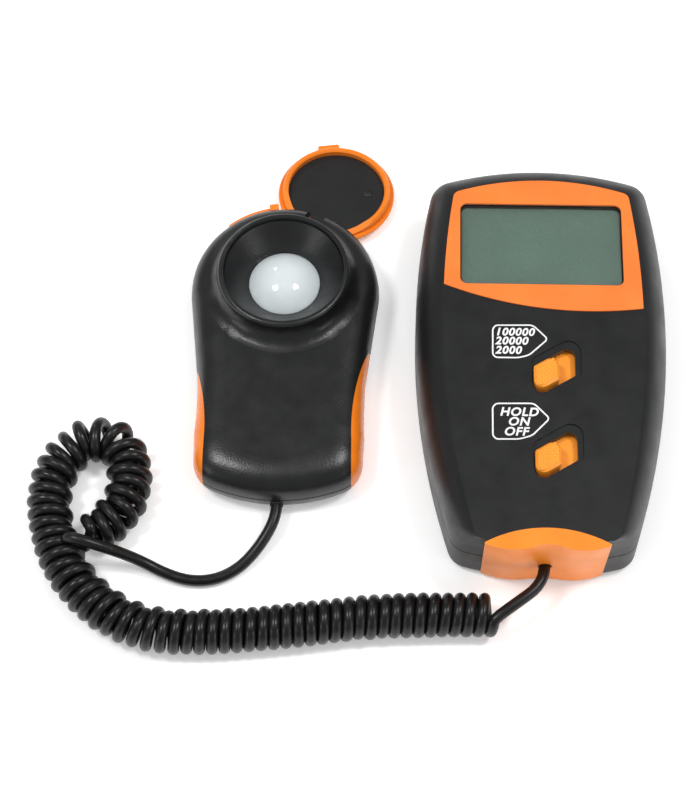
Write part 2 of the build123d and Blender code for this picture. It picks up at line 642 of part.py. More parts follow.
def probe_top_shell(brackets):
    shell = probe_solid() - probe_hollow()
    shell = shell & block(-40, 40, -60, 70, PROBE_SEAM_Z, 40)
    shell -= turned([(0, 10), (MOUTH_R, 10), (MOUTH_R, COLLAR_Z - 0.4), (MOUTH_R + 0.4, 30), (0, 30)])
    for x, y in PROBE_SCREWS:
        shell += rod(x, y, PROBE_SEAM_Z, 13.0, 2.3) - rod(x, y, 7, 12.0, 0.9)
    shell -= hinge_notch()
    shell -= hinge_pin()
    for piece in (grip_region(1), grip_region(-1), *brackets):
        shell -= piece
    return largest(shell)


def probe_bottom_shell(brackets):
    shell = probe_solid() - probe_hollow()
    shell = shell & block(-40, 40, -60, 70, -1, PROBE_SEAM_Z)
    groove = extrude(probe_face(PROBE_SEAM_Z - 0.3, -1), 0.4) - extrude(probe_face(7, 0.3), 2)
    shell -= groove
    wall = turned([(SHROUD_R - 1.2, 1.5), (SHROUD_R, 1.5), (SHROUD_R, 13.2), (SHROUD_R - 1.2, 13.2)])
    shell += wall
    for x, y in PROBE_SCREWS:
        shell += rod(x, y, 1.5, PROBE_SEAM_Z, 2.6)
        shell = shell - rod(x, y, -1, 20, 1.1) - rod(x, y, -1, 4.5, 2.0)
    for x, y in SENSOR_SCREWS:
        shell += rod(x, y, 1.5, SENSOR_BOARD_Z, 1.9) - rod(x, y, 3, 9, 0.7)
    shell -= hinge_notch()
    shell -= cap_rest_scoop()
    shell -= cord_bore(GROMMET_R + 0.05)
    for piece in (grip_region(1), grip_region(-1), *brackets):
        shell -= piece
    return largest(shell)


def side_grip(side):
    outer = probe_body(0.0, 0.0, HANDLE_TOP_Z)
    inner = probe_body(PROBE_WALL, PROBE_WALL, HANDLE_TOP_Z - PROBE_WALL)
    return largest((outer - inner) & grip_region(side))


def dish_cone():
    """Black conical dish round the dome, with a skirt that seats it under the collar."""
    return turned([(16.8, 20.6), (10.3, DISH_FLOOR_Z), (10.3, 12.4), (11.8, 12.4), (15.5, 16.2),
                   (15.5, 13.4), (17.4, 13.4), (17.4, 14.3), (16.8, 14.4)])


def diffuser_dome():
    """Hollow milky dome with a flange under the dish's edge."""
    ball_r = (DOME_R ** 2 + DOME_H ** 2) / (2 * DOME_H)
    core_r = ball_r - DOME_WALL
    ball_z = DISH_FLOOR_Z + DOME_H - ball_r
    neck = DOME_R - DOME_WALL
    top = DISH_FLOOR_Z + DOME_H

    def on_ball(r, ball):
        return r, 0, ball_z + (ball ** 2 - r ** 2) ** 0.5

    outside = ThreePointArc((DOME_R, 0, DISH_FLOOR_Z), on_ball(DOME_R / 2, ball_r), (0, 0, top))
    inside = ThreePointArc((0, 0, top - DOME_WALL), on_ball(neck / 2, core_r), on_ball(neck, core_r))
    rest = Polyline(on_ball(neck, core_r), (neck, 0, 11.3), (11.6, 0, 11.3), (11.6, 0, 12.4),
                    (DOME_R, 0, 12.4), (DOME_R, 0, DISH_FLOOR_Z))
    crown = Line((0, 0, top), (0, 0, top - DOME_WALL))
    return Pos(0, HEAD_Y, 0) * revolve(make_face([outside, crown, inside, rest]), Axis.Z, 360)


def sensor_board():
    board = Pos(0, HEAD_Y, SENSOR_BOARD_Z + 0.6) * Cylinder(15.0, 1.2)
    for x, y in SENSOR_SCREWS:
        board -= rod(x, y, 0, 20, 1.0)
    return board


def sensor_screws():
    screws = []
    for x, y in SENSOR_SCREWS:
        z = SENSOR_BOARD_Z + 1.2
        screw = rod(x, y, z, z + 1.1, 1.6) + rod(x, y, 3.2, z, 0.65)
        screws.append(screw - block(x - 1.1, x + 1.1, y - 0.2, y + 0.2, z + 0.6, z + 2))
    return screws


def photodiode():
    z = SENSOR_BOARD_Z + 1.2
    can = Pos(0, HEAD_Y, z + 1.0) * Cylinder(4.6, 2.0) + Pos(0, HEAD_Y, z + 0.25) * Cylinder(5.2, 0.5)
    return can - Pos(0, HEAD_Y, z + 1.9) * Box(5.4, 5.4, 0.6)


def colour_filter():
    z = SENSOR_BOARD_Z + 3.2
    return Pos(0, HEAD_Y, z + 0.75) * Cylinder(5.5, 1.5)


def probe_screws():
    screws = []
    for x, y in PROBE_SCREWS:
        screw = rod(x, y, 3.0, 4.5, 1.85) + rod(x, y, 4.5, 11.0, 0.85)
        cross = block(x - 1.2, x + 1.2, y - 0.2, y + 0.2, 2.5, 3.7)
        screws.append(screw - cross - Pos(x, y, 0) * Rot(0, 0, 90) * Pos(-x, -y, 0) * cross)
    return screws


def probe_strain_relief():
    """Rubber grommet in the handle's end, with a flange inside the wall."""
    sleeve = Pos(0, HANDLE_END_Y + 1.3, PROBE_EXIT_Z) * Rot(90, 0, 0) * Cylinder(GROMMET_R, 3.4)
    flange = Pos(0, HANDLE_END_Y + 3.6, PROBE_EXIT_Z) * Rot(90, 0, 0) * Cylinder(3.1, 1.4)
    return sleeve + flange


def to_open(shape):
    """Swings a closed cap piece about the hinge pin to where it lies open."""
    about_pin = Pos(0, HINGE_OUT, HINGE_Z) * Rot(-CAP_OPEN, 0, 0) * Pos(0, -HINGE_OUT, -HINGE_Z)
    return hinge_frame() * about_pin * shape


def flat_turned(points):
    return revolve(make_face(Polyline(*[(r, 0, z) for r, z in points], close=True)), Axis.Z, 360)


def cap_shell():
    """Cap with a flange that rests on the collar, a rim that drops into it, tab and hinge arm."""
    low = CAP_SEAT_Z - CAP_COLLAR_H
    cap = flat_turned([(0, CAP_TOP_Z), (CAP_R - 1.4, CAP_TOP_Z), (CAP_R - 0.5, CAP_TOP_Z - 0.35),
                       (CAP_R, CAP_TOP_Z - 0.9), (CAP_R, CAP_SEAT_Z + 0.2), (CAP_R - 0.2, CAP_SEAT_Z),
                       (CAP_COLLAR_R, CAP_SEAT_Z), (CAP_COLLAR_R, low + 0.5),
                       (CAP_COLLAR_R - 0.5, low), (CAP_INNER_R + 0.4, low), (CAP_INNER_R, low + 0.4),
                       (CAP_INNER_R, CAP_TOP_Z - 1.2), (0, CAP_TOP_Z - 1.2)])
    ramp = Plane.YZ * make_face(Polyline((6.5, low - 0.01), (20, low - 0.01), (20, CAP_SEAT_Z),
                                         (15.2, CAP_SEAT_Z), close=True))
    cap -= extrude(ramp, 30, both=True)
    arm = block(-HINGE_ARM_W / 2, HINGE_ARM_W / 2, 15.5, HINGE_OUT + 1.1, CAP_SEAT_Z, CAP_TOP_Z)
    arm += block(-HINGE_ARM_W / 2, HINGE_ARM_W / 2, HINGE_OUT - 0.75, HINGE_OUT + 1.1, HINGE_Z, CAP_TOP_Z)
    arm += pin_rod(BARREL_R, HINGE_ARM_W)
    cap += arm
    cap -= pin_rod(HINGE_PIN_R + 0.05, 2 * NOTCH_W)
    turn = TAB_AZIMUTH - HINGE_AZIMUTH
    tab = Pos(0, -CAP_R - 0.2, (CAP_SEAT_Z + CAP_TOP_Z) / 2) * Box(6.4, 2.6, CAP_TOP_Z - CAP_SEAT_Z - 0.3)
    tab = Rot(0, 0, turn) * fillet(tab.edges().filter_by(Axis.Z), 0.5)
    return cap + tab


def cap_liner():
    """Black disc inside the cap, with one moulded bump."""
    z1 = CAP_TOP_Z - 1.2
    disc = Pos(0, 0, z1 - 0.45) * Cylinder(CAP_INNER_R, 0.9)
    bump = Pos(8.7, -3.4, z1 - 0.9) * scale(Sphere(1.5), (1, 1, 0.3))
    return disc + bump


def corner_radii(points):
    """Largest smooth arc at each inner point: 0.45 of its shorter run over tan(half the turn)."""
    radii = []
    for a, b, c in zip(points, points[1:], points[2:]):
        before, after = Vector(*b) - Vector(*a), Vector(*c) - Vector(*b)
        half_turn = radians(before.get_angle(after)) / 2
        radii.append(0.45 * min(before.length, after.length) / tan(half_turn))
    return radii


def cord_tube(name, points, radii, diameter):
    path = FilletPolyline(*points, radius=radii)
    tube = sweep(Plane(path @ 0, z_dir=path % 0) * Circle(diameter / 2), path=path)
    ratio = tube.volume / (pi * diameter ** 2 / 4 * path.length)
    print(name, "length", round(path.length, 1), "volume ratio", round(ratio, 4),
          "radii", [round(r, 1) for r in radii])
    return tube


def coil_pieces():
    """The curly stretch as fat tubes of its outer diameter, cut in the middle of two runs."""
    points = [(x, y, LYING_Z) for x, y in COIL]
    radii = corner_radii(points)
    cuts = [0, *COIL_SPLITS, len(points) - 1]
    pieces = []
    for first, last in zip(cuts, cuts[1:]):
        inner = points[first + 1:last + 1] if last < len(points) - 1 else points[first + 1:last]
        start = points[first] if first == 0 else mix(points[first], points[first + 1], 0.5)
        end = points[last] if last == len(points) - 1 else mix(points[last], points[last + 1], 0.5)
        kept = radii[first:first + len(inner)]
        pieces.append(cord_tube("coil", [start, *inner, end], kept, COIL_D))
    return pieces


def meter_nodes():
    return {
        "meter_front_shell": meter_front_shell(),
        "meter_rear_shell": meter_rear_shell(),
        "display_bezel": display_bezel(),
        "display_window": display_window(),
        "display_glass": display_glass(),
        "display_frame": display_frame(),
        "contact_strip_upper": contact_strip(GLASS_Y1 - 1.4),
        "contact_strip_lower": contact_strip(GLASS_Y0 + 1.4),
        "main_board": main_board(),
        "board_screws": board_screws(),
        "case_screws": case_screws(),
        "range_switch_knob": knob(RANGE_SWITCH_Y),
        "power_switch_knob": knob(POWER_SWITCH_Y),
        "range_switch_body": switch_body(RANGE_SWITCH_Y),
        "power_switch_body": switch_body(POWER_SWITCH_Y),
        "range_switch_actuator": switch_actuator(RANGE_SWITCH_Y),
        "power_switch_actuator": switch_actuator(POWER_SWITCH_Y),
        "converter_chip": converter_chip(),
        "amplifier_chip": amplifier_chip(),
        "trimmers": trimmers(),
        "capacitors": capacitors(),
        "battery": battery(),
        "battery_snap": battery_snap(),
        "battery_wires": battery_wires(),
        "battery_foam": battery_foam(),
        "battery_door": battery_door(),
        "cable_guard": cable_guard(),
        "meter_strain_relief": meter_strain_relief(),
    }


def probe_nodes():
    brackets = hinge_brackets()
    nodes = {
        "probe_top_shell": probe_top_shell(brackets),
        "probe_bottom_shell": probe_bottom_shell(brackets),
        "left_grip": side_grip(-1),
        "right_grip": side_grip(1),
        "hinge_bracket_left": brackets[0],
        "hinge_bracket_right": brackets[1],
        "hinge_pin": hinge_pin(),
        "dish_cone": dish_cone(),
        "diffuser_dome": diffuser_dome(),
        "colour_filter": colour_filter(),
        "photodiode": photodiode(),
        "sensor_board": sensor_board(),
        "sensor_screws": sensor_screws(),
        "probe_screws": probe_screws(),
        "probe_strain_relief": probe_strain_relief(),
        "cap_shell": to_open(cap_shell()),
        "cap_liner": to_open(cap_liner()),
    }
    return {name: place_probe(shape) for name, shape in nodes.items()}


def place_probe(shape):
    if isinstance(shape, list):
        return [Pos(PROBE_X, 0, 0) * one for one in shape]
    return Pos(PROBE_X, 0, 0) * shape


def cord_nodes():
    run, bend, loop = coil_pieces()
    return {
        "cord_meter_lead": cord_tube("meter lead", METER_LEAD, corner_radii(METER_LEAD), CORD_D),
        "cord_coil_run": run,
        "cord_coil_bend": bend,
        "cord_coil_loop": loop,
        "cord_probe_lead": cord_tube("probe lead", PROBE_LEAD, corner_radii(PROBE_LEAD), CORD_D),
    }


def write_nodes():
    os.makedirs("parts", exist_ok=True)
    for name, shape in {**meter_nodes(), **probe_nodes(), **cord_nodes()}.items():
        solids = [s for one in (shape if isinstance(shape, list) else [shape]) for s in one.solids()]
        node = solids[0] if len(solids) == 1 else Compound(children=solids)
        node.label = name
        export_step(node, f"parts/{name}.step")


if __name__ == "__main__":
    write_nodes()
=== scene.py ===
"""Looks of a hand-held light meter with its light probe and curly cord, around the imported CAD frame."""

import math
import random

import bpy
from mathutils import Matrix, Vector


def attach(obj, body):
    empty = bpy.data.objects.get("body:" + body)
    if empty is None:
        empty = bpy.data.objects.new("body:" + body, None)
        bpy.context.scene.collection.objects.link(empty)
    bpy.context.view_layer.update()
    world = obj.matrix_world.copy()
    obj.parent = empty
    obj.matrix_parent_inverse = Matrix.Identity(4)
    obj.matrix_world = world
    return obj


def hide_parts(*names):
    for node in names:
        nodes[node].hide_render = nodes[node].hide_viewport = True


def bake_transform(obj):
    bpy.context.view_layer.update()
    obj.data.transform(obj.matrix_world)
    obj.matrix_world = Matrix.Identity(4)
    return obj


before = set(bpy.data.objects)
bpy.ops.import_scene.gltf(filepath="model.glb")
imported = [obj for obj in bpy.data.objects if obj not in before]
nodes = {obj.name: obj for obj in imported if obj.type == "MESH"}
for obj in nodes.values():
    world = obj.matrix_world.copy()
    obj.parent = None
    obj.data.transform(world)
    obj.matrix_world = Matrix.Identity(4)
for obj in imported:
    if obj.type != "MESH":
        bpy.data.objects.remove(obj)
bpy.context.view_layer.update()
MM = 0.001               # sizes below are in millimetres unless a comment says otherwise
UP = Vector((0, 0, 1))
scene = bpy.context.scene


def mm(*values):
    return Vector(values) * MM


# ---------------------------------------------------------------- camera

CAMERA_PITCH = 62.5      # degrees below the horizon
CAMERA_TURN = 2.57       # degrees left of straight ahead
CAMERA_ROLL = -1.35      # degrees about the line of sight
CAMERA_DISTANCE = 600.0
CAMERA_LENS = 94.77
CAMERA_TARGET = mm(-53.3, -4.1, 0)


def add_camera():
    pitch, turn, roll = (math.radians(v) for v in (CAMERA_PITCH, CAMERA_TURN, CAMERA_ROLL))
    level = math.cos(pitch)
    ahead = Vector((-math.sin(turn) * level, math.cos(turn) * level, -math.sin(pitch)))
    right = Vector((math.cos(turn), math.sin(turn), 0))
    above = right.cross(ahead)
    side = right * math.cos(roll) + above * math.sin(roll)
    top = above * math.cos(roll) - right * math.sin(roll)
    camera = bpy.data.objects.new("camera", bpy.data.cameras.new("camera"))
    scene.collection.objects.link(camera)
    camera.data.lens = CAMERA_LENS
    camera.data.clip_start = 0.01
    turned = Matrix((side, top, -ahead)).transposed().to_4x4()
    camera.matrix_world = Matrix.Translation(CAMERA_TARGET - ahead * CAMERA_DISTANCE * MM) @ turned
    scene.camera = camera


# ---------------------------------------------------------------- cord

WIRE_D = 3.2
LYING_Z = 6.25           # height of the coil's middle line as it lies
FLOOR_Z = 1.65           # height of the bare wire's middle line as it lies
TURN_R = 4.45            # radius of the coil's turns, at the wire's middle line
STEPS = 16               # points in one turn of the coil
MOST_TURNS = 400         # more than the coil ever needs
FIRST_ANGLE = math.radians(35)
POLYGON_GAIN = 1.02      # the spline runs inside its points by this much
TURN_GAP = 1.01          # pitch on a straight stretch, in wire diameters
LEAST_INSIDE = 0.4       # keeps the pitch from opening without end on the tightest bends
BEND_SPREAD = 0.42       # how far the pitch opens on a bend, 1 where its inside turns just touch
STAGGER = 0.9            # how far crowded turns step aside, 1 for all the way
UNEVEN_RADIUS = 0.02     # share of the radius by which turns differ
UNEVEN_LEAN = 0.25       # how far a turn's top leans along the coil
TUBE_SIDES = 20
METER_LEAD = [(0.3, -57.6, 11.2), (0.3, -61.5, 11.3), (-2.2, -65.8, 11.2), (-6.4, -69.0, 11.0)]
COIL = [(-13.4, -71.4), (-42.0, -71.6), (-66.0, -75.4), (-89.0, -78.0), (-107.0, -77.8),
        (-120.4, -70.6), (-129.6, -60.0), (-134.4, -47.5), (-135.8, -36.0), (-132.6, -26.0),
        (-124.5, -19.6), (-116.0, -22.2), (-112.9, -31.5), (-113.6, -39.5), (-116.2, -44.6),
        (-119.8, -48.0), (-122.6, -50.0)]
LAST_RING = [(-124.6, -53.2, 2.6), (-127.6, -53.2, 7.4), (-128.9, -53.6, 12.6),
             (-125.2, -54.6, 13.8), (-119.6, -55.6, 11.6)]
PROBE_LEAD = [(-114.4, -56.0, 8.4), (-108.8, -56.8, 4.4), (-102.8, -59.2, 2.2),
              (-96.0, -61.3, FLOOR_Z), (-88.8, -60.9, FLOOR_Z), (-82.4, -57.4, FLOOR_Z),
              (-77.6, -52.2, 2.8), (-74.3, -47.0, 4.4), (-72.7, -42.8, 5.2), (-72.6, -40.0, 5.2)]


def spline_curve(name, points, smooth=3):
    """Curve object with one open NURBS spline on these points, in metres."""
    data = bpy.data.curves.new(name, "CURVE")
    data.dimensions = "3D"
    data.resolution_u = smooth
    spline = data.splines.new("NURBS")
    spline.points.add(len(points) - 1)
    for point, place in zip(spline.points, points):
        point.co = (*place, 1)
    spline.order_u = 3
    spline.use_endpoint_u = True
    curve = bpy.data.objects.new(name, data)
    scene.collection.objects.link(curve)
    return curve


def line_of(curve):
    """Points read from a curve's own spline, in metres."""
    bpy.context.view_layer.update()
    depsgraph = bpy.context.evaluated_depsgraph_get()
    mesh = bpy.data.meshes.new_from_object(curve.evaluated_get(depsgraph))
    points = [v.co.copy() for v in mesh.vertices]
    bpy.data.meshes.remove(mesh)
    return points


def line_of_bare(curve):
    """The line of a bevelled curve: its own spline, read with the bevel off."""
    depth, curve.data.bevel_depth = curve.data.bevel_depth, 0
    line = line_of(curve)
    curve.data.bevel_depth = depth
    return line


def route_line(points):
    """The smooth line that a spline on these points follows."""
    curve = spline_curve("route", points, smooth=24)
    line = line_of(curve)
    bpy.data.objects.remove(curve)
    return line


class Route:
    """A line measured along its length: its place, direction and bend at a distance."""

    def __init__(self, line):
        self.line = line
        self.at = [0.0]
        for a, b in zip(line, line[1:]):
            self.at.append(self.at[-1] + (b - a).length)
        self.length = self.at[-1]

    def place(self, distance):
        distance = min(max(distance, 0.0), self.length)
        low, high = 0, len(self.at) - 1
        while high - low > 1:
            middle = (low + high) // 2
            low, high = (middle, high) if self.at[middle] <= distance else (low, middle)
        share = (distance - self.at[low]) / (self.at[high] - self.at[low])
        return self.line[low].lerp(self.line[high], share)

    def along(self, distance, reach=0.002):
        return (self.place(distance + reach) - self.place(distance - reach)).normalized()

    def bend(self, distance, reach=0.004):
        """Turn per metre, positive to the left of travel."""
        before, after = self.along(distance - reach), self.along(distance + reach)
        turned = math.atan2(before.cross(after).z, before.dot(after))
        return turned / (2 * reach)


def coil_points(route):
    """Left-handed turns round the coil's route. On a bend they crowd and stagger on its inside."""
    wire, turn_r = WIRE_D * MM, TURN_R * MM
    wander = random.Random(4)
    uneven = [wander.uniform(-1, 1) for _ in range(MOST_TURNS)]
    touching = wire * TURN_GAP
    points, distance, angle = [], 0.0, FIRST_ANGLE
    while distance < route.length:
        along = route.along(distance)
        side = UP.cross(along)
        bend = route.bend(distance)
        turn, share = int(angle / (2 * math.pi)), angle / (2 * math.pi) % 1
        odd = uneven[turn] + (uneven[turn + 1] - uneven[turn]) * share
        inside = 1 - turn_r * abs(bend)
        crowded = touching / max(inside, LEAST_INSIDE)
        pitch = touching + (crowded - touching) * BEND_SPREAD
        spread = pitch * inside
        stagger = 0.5 * math.sqrt(max(wire * wire - spread * spread, 0.0))
        centre_side = math.pi / 2 if bend > 0 else -math.pi / 2
        shift = stagger * math.cos((angle - centre_side) / 2)
        radius = turn_r * POLYGON_GAIN * (1 + UNEVEN_RADIUS * odd)
        lean = UNEVEN_LEAN * MM * odd * math.cos(angle)
        ring = UP * math.cos(angle) + side * math.sin(angle)
        inward = side * math.copysign(1, bend)
        points.append(route.place(distance) + ring * radius + inward * shift * STAGGER + along * lean)
        angle += 2 * math.pi / STEPS
        distance += pitch / STEPS
    return points


def tube(name, line, radius):
    """Closed mesh tube along a line."""
    sides = TUBE_SIDES
    verts, faces = [], []
    direction = (line[1] - line[0]).normalized()
    across = direction.cross(UP).normalized()
    for i, place in enumerate(line):
        ahead = (line[min(i + 1, len(line) - 1)] - line[max(i - 1, 0)]).normalized()
        across = (across - ahead * across.dot(ahead)).normalized()
        other = ahead.cross(across)
        for k in range(sides):
            a = 2 * math.pi * k / sides
            verts.append(place + (across * math.cos(a) + other * math.sin(a)) * radius)
    for i in range(len(line) - 1):
        for k in range(sides):
            a, b = i * sides + k, i * sides + (k + 1) % sides
            faces.append((a, b, b + sides, a + sides))
    faces.append(tuple(reversed(range(sides))))
    faces.append(tuple((len(line) - 1) * sides + k for k in range(sides)))
    return mesh_object(name, verts, faces, smooth=True)


def mesh_object(name, verts, faces, smooth=False):
    mesh = bpy.data.meshes.new(name)
    mesh.from_pydata([tuple(v) for v in verts], [], faces)
    mesh.validate()
    mesh.update()
    for polygon in mesh.polygons:
        polygon.use_smooth = smooth
    thing = bpy.data.objects.new(name, mesh)
    scene.collection.objects.link(thing)
    return thing


def add_cords(jacket):
    """The curly cord with the meter's lead, and the probe's lead from the coil's last ring."""
    lead = [mm(*p) for p in METER_LEAD]
    turns = coil_points(Route(route_line([mm(x, y, LYING_Z) for x, y in COIL])))
    ring = [mm(*p) for p in LAST_RING]
    probe_lead = [mm(*p) for p in PROBE_LEAD]
    joint = ring[-1].lerp(probe_lead[0], 0.5)

    coil = spline_curve("curly_cord", lead + turns + ring + [joint])
    coil.data.bevel_depth = WIRE_D / 2 * MM
    coil.data.bevel_resolution = 5
    coil.data.use_fill_caps = True
    coil.data.materials.append(jacket)
    print("coil points", len(turns), "length", Route(line_of_bare(coil)).length)

    line = route_line([joint] + probe_lead)
    straight = tube("probe_lead", line, WIRE_D / 2 * MM)
    straight.data.materials.append(jacket)
    print("lead length", Route(line).length)

    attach(coil, "root")
    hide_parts("cord_meter_lead", "cord_coil_run", "cord_coil_bend", "cord_coil_loop")
    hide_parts("cord_probe_lead")
    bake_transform(straight)


# ---------------------------------------------------------------- materials

class Recipe:
    """A material and short calls that add its shader nodes."""

    def __init__(self, name, colour, roughness, **sockets):
        self.material = bpy.data.materials.new(name)
        self.material.use_nodes = True
        self.tree = self.material.node_tree
        self.shader = self.tree.nodes["Principled BSDF"]
        self.set("Base Color", (*colour, 1))
        self.set("Roughness", roughness)
        for socket, value in sockets.items():
            self.set(socket.replace("_", " "), value)
        self.coords = self.node("ShaderNodeTexCoord").outputs["Object"]
        self.height = None

    def set(self, socket, value):
        self.shader.inputs[socket].default_value = value

    def node(self, kind, **values):
        made = self.tree.nodes.new(kind)
        for key, value in values.items():
            setattr(made, key, value)
        return made

    def link(self, output, socket):
        self.tree.links.new(output, socket)

    def noise(self, size_mm, detail=2.0, stretch=None):
        noise = self.node("ShaderNodeTexNoise")
        noise.inputs["Scale"].default_value = 1.0 / (size_mm * MM)
        noise.inputs["Detail"].default_value = detail
        coords = self.coords
        if stretch:
            mapping = self.node("ShaderNodeMapping")
            mapping.inputs["Scale"].default_value = stretch
            self.link(coords, mapping.inputs["Vector"])
            coords = mapping.outputs["Vector"]
        self.link(coords, noise.inputs["Vector"])
        return noise.outputs["Fac"]

    def cells(self, size_mm):
        cells = self.node("ShaderNodeTexVoronoi")
        cells.inputs["Scale"].default_value = 1.0 / (size_mm * MM)
        self.link(self.coords, cells.inputs["Vector"])
        return cells.outputs["Distance"]

    def ramp(self, value, low, high, start, stop):
        spread = self.node("ShaderNodeMapRange")
        numbers = {"From Min": low, "From Max": high, "To Min": start, "To Max": stop}
        for socket, number in numbers.items():
            spread.inputs[socket].default_value = number
        self.link(value, spread.inputs["Value"])
        return spread.outputs["Result"]

    def tint(self, value, dark, light):
        mix = self.node("ShaderNodeMix", data_type="RGBA")
        self.link(value, mix.inputs["Factor"])
        mix.inputs["A"].default_value = (*dark, 1)
        mix.inputs["B"].default_value = (*light, 1)
        self.link(mix.outputs["Result"], self.shader.inputs["Base Color"])

    def bump(self, value, depth_mm):
        bump = self.node("ShaderNodeBump")
        bump.inputs["Strength"].default_value = 1.0
        bump.inputs["Distance"].default_value = depth_mm * MM
        self.link(value, bump.inputs["Height"])
        if self.height:
            self.link(self.height, bump.inputs["Normal"])
        self.height = bump.outputs["Normal"]
        self.link(self.height, self.shader.inputs["Normal"])

    def uneven_roughness(self, size_mm, low, high, detail=4.0):
        """Patches of this size whose roughness wanders between two values."""
        patches = self.ramp(self.noise(size_mm, detail=detail), 0.3, 0.7, low, high)
        self.link(patches, self.shader.inputs["Roughness"])


ROUGHNESS_SPREAD = 0.06


def shade(colour, gain):
    return tuple(min(1.0, c * gain) for c in colour)


def moulded(name, colour, roughness, grain_mm, depth_mm, **sockets):
    """Injection-moulded plastic: spark-eroded grain, slight cloudiness, and rubbed patches."""
    recipe = Recipe(name, colour, roughness, **sockets)
    cloud = recipe.noise(14.0, detail=3.0)
    recipe.tint(recipe.ramp(cloud, 0.35, 0.65, 0.0, 1.0), shade(colour, 0.93), shade(colour, 1.07))
    recipe.uneven_roughness(6.0, roughness - ROUGHNESS_SPREAD, roughness + ROUGHNESS_SPREAD)
    recipe.bump(recipe.noise(grain_mm, detail=1.5), depth_mm)
    return recipe.material


def cord_jacket():
    """Soft PVC jacket: satin black, faintly mottled, with dull patches."""
    recipe = Recipe("cord_jacket", (0.0050, 0.0050, 0.0055), 0.33, Specular_IOR_Level=0.38)
    recipe.uneven_roughness(3.0, 0.27, 0.42)
    recipe.bump(recipe.noise(0.8, detail=2.0), 0.012)
    recipe.tint(recipe.noise(5.0), (0.0040, 0.0040, 0.0044), (0.0065, 0.0065, 0.0070))
    return recipe.material


def window_glass():
    """Clear acrylic with the faintest haze."""
    recipe = Recipe("clear_window", (0.93, 0.97, 0.95), 0.04, IOR=1.49, Transmission_Weight=1.0)
    recipe.uneven_roughness(9.0, 0.02, 0.07, detail=3.0)
    recipe.bump(recipe.noise(20.0), 0.004)
    return recipe.material


def liquid_crystal():
    """Grey-green reflective display glass with a fine sheen."""
    recipe = Recipe("display", (0.165, 0.235, 0.200), 0.3)
    recipe.tint(recipe.noise(18.0, detail=2.0), (0.140, 0.200, 0.168), (0.182, 0.268, 0.224))
    recipe.uneven_roughness(0.5, 0.25, 0.36, detail=2.0)
    recipe.bump(recipe.noise(0.4), 0.004)
    return recipe.material


def milky_dome():
    """Opal diffuser: white, softly translucent, glossy."""
    recipe = Recipe("milky_dome", (0.64, 0.69, 0.70), 0.12, Subsurface_Weight=0.6,
                    Subsurface_Scale=0.004, Subsurface_Radius=(1.0, 0.9, 0.8), IOR=1.49)
    recipe.tint(recipe.noise(7.0, detail=2.0), (0.62, 0.67, 0.68), (0.66, 0.71, 0.72))
    recipe.uneven_roughness(2.0, 0.09, 0.16, detail=3.0)
    recipe.bump(recipe.noise(1.5), 0.003)
    return recipe.material


def circuit_board():
    """Green solder mask over faint copper tracks."""
    recipe = Recipe("circuit_board", (0.02, 0.11, 0.045), 0.28)
    tracks = recipe.node("ShaderNodeTexBrick")
    tracks.inputs["Scale"].default_value = 160.0
    tracks.inputs["Color1"].default_value = (0.02, 0.11, 0.045, 1)
    tracks.inputs["Color2"].default_value = (0.03, 0.16, 0.06, 1)
    tracks.inputs["Mortar"].default_value = (0.015, 0.08, 0.035, 1)
    recipe.link(recipe.coords, tracks.inputs["Vector"])
    recipe.link(tracks.outputs["Color"], recipe.shader.inputs["Base Color"])
    recipe.bump(tracks.outputs["Fac"], 0.03)
    return recipe.material


def metal(name, colour, roughness):
    """Plated steel with fine drawn lines."""
    recipe = Recipe(name, colour, roughness, Metallic=1.0)
    recipe.uneven_roughness(1.2, roughness - 0.08, roughness + 0.1)
    recipe.bump(recipe.noise(0.25, stretch=(1, 8, 1)), 0.006)
    return recipe.material


def foam():
    """Open-cell foam pad."""
    recipe = Recipe("foam_pad", (0.03, 0.03, 0.032), 0.95)
    recipe.tint(recipe.cells(0.6), (0.015, 0.015, 0.016), (0.05, 0.05, 0.052))
    recipe.bump(recipe.cells(0.6), 0.15)
    return recipe.material


BLACK = (0.0078, 0.0082, 0.0088)
ORANGE_PANEL = (0.87, 0.195, 0.028)
ORANGE_PLASTIC = (0.87, 0.210, 0.012)


def paint(thing, material):
    if not thing.material_slots:
        thing.data.materials.append(material)
    for slot in thing.material_slots:
        slot.material = material


